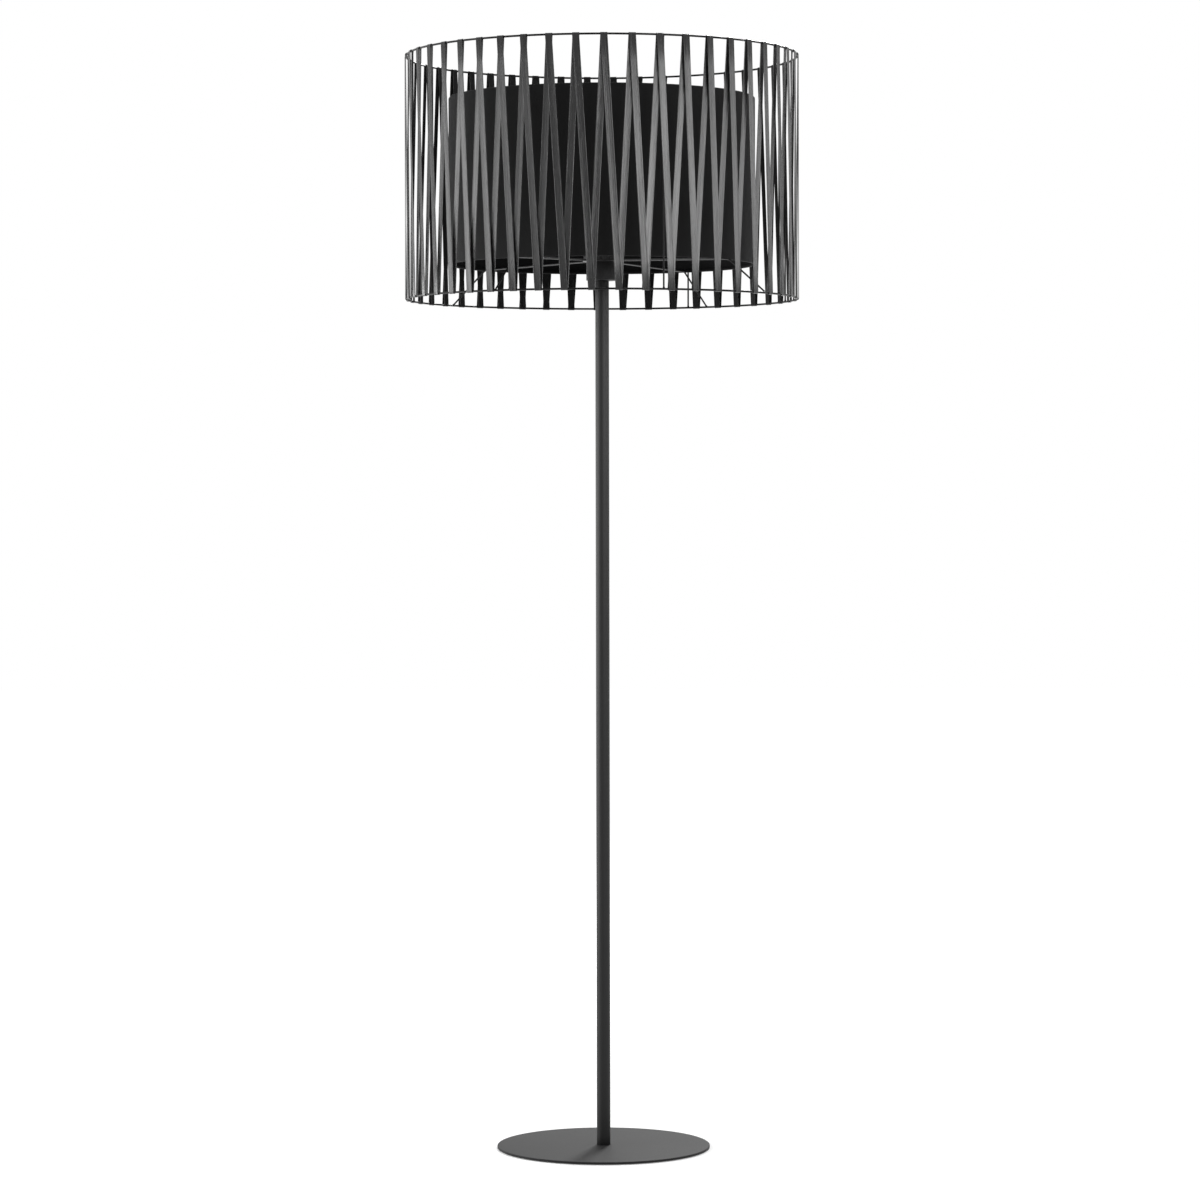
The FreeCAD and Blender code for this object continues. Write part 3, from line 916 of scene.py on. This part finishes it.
def drumOutline(low, high, outer, inner):
    # from the outside wall over the top roll, down inside and under the bottom roll
    rolled, hemFace = outer - drum["rollDepth"], inner - drum["hemThick"]
    tall, hem = drum["rollHeight"], drum["hem"]
    edge = tall / 2 - drum["rollFlat"]

    def hemmed(end, way):
        # from the roll to the end of the hem, down from the top with way -1, up with way 1
        return [
            (rolled, end, edge), (rolled, end + way * tall, edge * drum["rollInside"]),
            (hemFace, end + way * tall + way * drum["hemTurn"], drum["hemThick"]),
            (hemFace, end + way * hem, drum["hemEdge"]), (inner, end + way * hem, 0),
        ]

    wall = [(outer, low, edge), (outer, high, edge)]
    outline = roundedOutline([*wall, *hemmed(high, -1), *hemmed(low, 1)[::-1]], 6)
    # more rows on the long outside wall, so the lap's edge stays true
    near = 0.01 * mm
    isTop, isOutside = outline[:, 1] > high - edge - near, outline[:, 0] > outer - near
    start = np.argmax(isTop & isOutside)
    rows = np.linspace(outline[start - 1, 1], outline[start, 1], drum["wallRows"])[1:-1]
    wall = np.stack([np.full(len(rows), outline[start, 0]), rows], -1)
    return np.insert(outline, start, wall, axis=0)


def makeDrum():
    low, high = boxOf("drum_shell")
    low, high, outer, step = low[2], high[2], high[0], drum["lapStep"]
    inner = outer - step - drum["cloth"]
    outline = drumOutline(low, high, outer, inner)
    lap = drum["lap"] / outer
    lapEdge = drum["lapAngle"] + lap / 2
    before, after = drum["lapCut"]
    angle = np.linspace(0, 2 * math.pi, drum["columns"], endpoint=False)
    angle = np.sort(np.concatenate([angle, [lapEdge - before, lapEdge + after]]))
    # the lapped layer stands proud by the lap's step, and eases down on its other side
    past = lapEdge - angle
    rise = np.where(past < 0, 0, np.exp(-np.maximum(past - lap, 0) / drum["lapEase"]))
    onWall = np.clip((outline[:, 0] - (outer - drum["lapDepth"])) / drum["lapDepth"], 0, 1)
    radius = outline[None, :, 0] - step * onWall[None] * (1 - rise[:, None])
    points = outward(angle)[:, None] * radius[..., None] + up * outline[None, :, 1:]
    # place on the cloth: metres round the drum, metres along the outline
    place = np.broadcast_arrays(angle[:, None] * outer, travelled(outline)[None], 0.0)
    place = np.stack(place, -1).reshape(-1, 3)
    faces = [gridFaces(len(angle), len(outline), True, True)]
    cloth = addPiece("drum_cloth", points.reshape(-1, 3), faces, "shade", "shade_fabric",
                     finishes["shade_fabric"], ["drum_shell"], place, 50)
    linerAndShadeInside(cloth, finishes["shade_liner"])

    skin, edge = inner - drum["liner"], drum["linerEdge"]
    foot = low + drum["hem"] - drum["linerUnderHem"]
    head = high - drum["hem"] + drum["linerUnderHem"]
    outline = roundedOutline([(skin, foot, edge), (inner, foot, 0), (inner, head, 0),
                              (skin, head, edge)], 2)
    points, faces = turned(outline, 192)
    addPiece("drum_liner", points, faces, "shade", "shade_fabric", finishes["shade_liner"])
    return cloth


drumCloth = makeDrum()
print("drum made")


# strap: turn k goes over the upper ring, down outside, under the lower ring and up inside to
# turn k + 1

lacing = {
    "turns": 47,
    "lengths": 8,
    "width": 10.0 * mm,
    "thick": 0.7 * mm,
    "edge": 0.3 * mm,
    "bead": {
        "in": 0.8 * mm,
        "width": 0.5 * mm,
        "height": 0.12 * mm,
        "rows": np.array([-1.0, -0.5, -0.2, 0.0, 0.2, 0.45]) * mm,
    },
    "beside": 2.1 * mm,
    "above": 1.77 * mm,
    "foldSteps": 8,
    "runSteps": 9,
    "patternStep": 0.8,
    "patternApart": 0.02,
}
# the first fold's angle and, for each wave of the hand spacing, its size and phase; the angle and
# the sizes are in degrees
upperFolds = {"first": -60.5, "slow": 0.85, "slowPhase": 0.35, "quick": 0.75, "quickPhase": 0.0}
lowerFolds = {"first": -56.4, "slow": 1.45, "slowPhase": 0.80, "quick": 0.35, "quickPhase": 1.2}


def foldAngle(folds, turn):
    # first + 360 k / n + slow * cos(p + slowPhase) + quick * cos(4 p + quickPhase), where
    # p = 2 pi k / n for turn k of n
    phase = 2 * math.pi * turn / lacing["turns"]
    slow = folds["slow"] * np.cos(phase + folds["slowPhase"])
    quick = folds["quick"] * np.cos(4 * phase + folds["quickPhase"])
    even = folds["first"] + 360 / lacing["turns"] * turn
    return np.radians(even + (slow + quick))


def fold(angle, z, way):
    # half an ellipse round a ring's wire, over it with way 1 and under it with way -1:
    # P = outward * (R + beside cos t) + up * (z + way above sin t)
    t = np.linspace(0, math.pi, lacing["foldSteps"] + 1)
    t = t[::-1] if way > 0 else t
    reach = cageLine + lacing["beside"] * np.cos(t)
    rise = z + way * lacing["above"] * np.sin(t)
    path = outward(angle) * reach[:, None] + up * rise[:, None]
    return path, np.broadcast_to(sideways(angle), path.shape)


def strapLine(first, last):
    # one length's middle line and the direction across it: folds, with straight runs between
    folds = []
    for turn in range(first, last):
        folds.append(fold(foldAngle(upperFolds, turn), cageHigh, 1))
        folds.append(fold(foldAngle(lowerFolds, turn), cageLow, -1))
    # it ends just short of the next length's first fold
    path, side = fold(foldAngle(upperFolds, last), cageHigh, 1)
    folds.append((path[:1], side[:1]))
    share = np.linspace(0, 1, lacing["runSteps"] + 1)[1:-1, None]
    lines = []
    for parts in zip(*folds):
        line = [parts[0]]
        for before, after in zip(parts, parts[1:]):
            line += [before[-1] * (1 - share) + after[0] * share, after]
        lines.append(np.vstack(line))
    return lines


def strapSection():
    # flat, with a bead along each edge of both faces:
    # height * exp(-((distance from the bead's crest) / width)^2)
    half, thick, bead = lacing["width"] / 2, lacing["thick"] / 2, lacing["bead"]
    section = roundedRectangle(half, thick, lacing["edge"], 2)
    inset = half - bead["in"] + bead["rows"]
    across = np.concatenate([inset[::-1], [0], -inset])
    fromCrest = np.abs(across) - half + bead["in"]
    swell = bead["height"] * np.exp(-(fromCrest / bead["width"]) ** 2)
    face = np.stack([across, thick + swell], -1)
    # the upper face's rows go between the third and the fourth corner
    third = len(section) * 3 // 4
    return np.vstack([section[:third], face, section[third:], face[::-1] * [1, -1]])


def makeStrap(first, last, name, node):
    path, side = strapLine(first, last)
    side /= np.linalg.norm(side, axis=1)[:, None]
    along = np.gradient(path, axis=0)
    along -= side * np.sum(along * side, axis=1)[:, None]
    along /= np.linalg.norm(along, axis=1)[:, None]
    section = strapSection()
    points, faces = sweep(path, side, np.cross(side, along), section)
    # place on the strap: metres along it, metres across it, and which face it is on
    travel = travelled(path) + first * lacing["patternStep"]
    whichFace = np.sign(section[None, :, 1]) * lacing["patternApart"]
    place = np.broadcast_arrays(travel[:, None], section[None, :, 0], whichFace)
    place = np.stack(place, -1).reshape(-1, 3)
    piece = addPiece(name, points, faces, "shade", "strap", finishes["strap"], [node], place, 50)
    # painted shade: the faces that look in at the pole get the darker copy of the strap's finish
    linerAndShadeInside(piece, finishes["strap_painted_shade"])


for i in range(lacing["lengths"]):
    first, last = (round(j * lacing["turns"] / lacing["lengths"]) for j in (i, i + 1))
    makeStrap(first, last, f"lacing_{i + 1}", f"strap_length_{i + 1}")
print("strap laced")


# floor, world and lamps

studio = {
    "floorHalf": 14.0,
    "floorTone": 0.80,
    "glowNear": 0.22,
    "glowFar": 0.86,
    "glowReach": (0.7, 3.5),
    "ambient": 0.20,
    # aim is the height of the point on the pole's axis that a lamp faces
    "lamps": {
        "keyBehind": {"at": (0.75, 2.90, 3.00), "aim": 0.4, "size": (0.6, 0.8), "level": 64.0},
        "softRight": {"at": (1.203, -1.818, 1.55), "aim": 1.55, "size": (1.9, 0.52),
                      "level": 11.0},
        "sideRight": {"at": (2.08, -0.29, 1.50), "aim": 1.50, "size": (1.5, 0.60), "level": 5.2},
        "fillLeft": {"at": (-1.65, -1.40, 1.54), "aim": 1.54, "size": (0.95, 0.60), "level": 3.2},
        "softLeft": {"at": (-2.12, -0.34, 1.40), "aim": 1.40, "size": (1.5, 0.80), "level": 6.7},
        "lowLeft": {"at": (-2.14, -0.20, 0.56), "aim": 0.56, "size": (1.6, 0.88), "level": 4.2},
        "rimLeft": {"at": (-1.9, 1.3, 0.92), "aim": 0.92, "size": (0.7, 0.7), "level": 6.6},
    },
}


def seenDirectly(tree):
    # 1 for camera, glossy and transmission rays, 0 for diffuse ones
    path = tree.nodes.new("ShaderNodeLightPath")
    seen = path.outputs["Is Camera Ray"]
    for ray in ("Is Glossy Ray", "Is Transmission Ray"):
        either = tree.nodes.new("ShaderNodeMath")
        either.operation = "MAXIMUM"
        tree.links.new(seen, either.inputs[0])
        tree.links.new(path.outputs[ray], either.inputs[1])
        seen = either.outputs[0]
    return seen


def makeFloor():
    half = studio["floorHalf"]
    mesh = bpy.data.meshes.new("floor")
    corners = [(-half, -half, 0), (half, -half, 0), (half, half, 0), (-half, half, 0)]
    mesh.from_pydata(corners, [], [(0, 1, 2, 3)])
    floor = bpy.data.objects.new("floor", mesh)
    bpy.context.scene.collection.objects.link(floor)
    tone = studio["floorTone"]
    finish = Finish("paleFloor", (tone, tone, tone), 1.0, Specular_IOR_Level=0.0,
                    Emission_Color=(1, 1, 1, 1))
    # the glow, which the camera and reflections see, grows with distance from the pole's foot, so
    # the far floor is white
    place = finish.add("ShaderNodeTexCoord").outputs["Object"]
    distance = finish.add("ShaderNodeVectorMath", {0: place}, operation="LENGTH")
    near, far = studio["glowNear"], studio["glowFar"]
    glow = finish.spread(distance.outputs["Value"], near, far, *studio["glowReach"])
    seen = finish.math("MULTIPLY", seenDirectly(finish.tree), glow)
    finish.feed("Emission Strength", seen)
    mesh.materials.append(finish.material)


def makeWorld():
    world = bpy.data.worlds.new("studio")
    bpy.context.scene.world = world
    world.use_nodes = True
    tree = world.node_tree
    background = tree.nodes["Background"]
    background.inputs["Color"].default_value = (1, 1, 1, 1)
    level = tree.nodes.new("ShaderNodeMapRange")
    level.inputs["To Min"].default_value = studio["ambient"]
    level.inputs["To Max"].default_value = 1.0
    tree.links.new(seenDirectly(tree), level.inputs["Value"])
    tree.links.new(level.outputs["Result"], background.inputs["Strength"])


def makeLamp(name, settings):
    data = bpy.data.lights.new(name, "AREA")
    data.shape = "RECTANGLE"
    data.size, data.size_y = settings["size"]
    # a lamp's energy is its radiance times pi times its area
    data.energy = settings["level"] * math.pi * data.size * data.size_y
    lamp = bpy.data.objects.new(name, data)
    at, aim = np.array(settings["at"]), up * settings["aim"]
    back = (at - aim) / np.linalg.norm(at - aim)
    right = np.cross(up, back)
    right /= np.linalg.norm(right)
    axes = np.eye(4)
    axes[:3, 0], axes[:3, 1], axes[:3, 2], axes[:3, 3] = right, np.cross(back, right), back, at
    lamp.matrix_world = Matrix(axes.tolist())
    lamp.visible_camera = False
    bpy.context.scene.collection.objects.link(lamp)


makeFloor()
makeWorld()
for name, settings in studio["lamps"].items():
    makeLamp(name, settings)
bpy.context.scene.view_settings.view_transform = "Standard"
print("studio made")
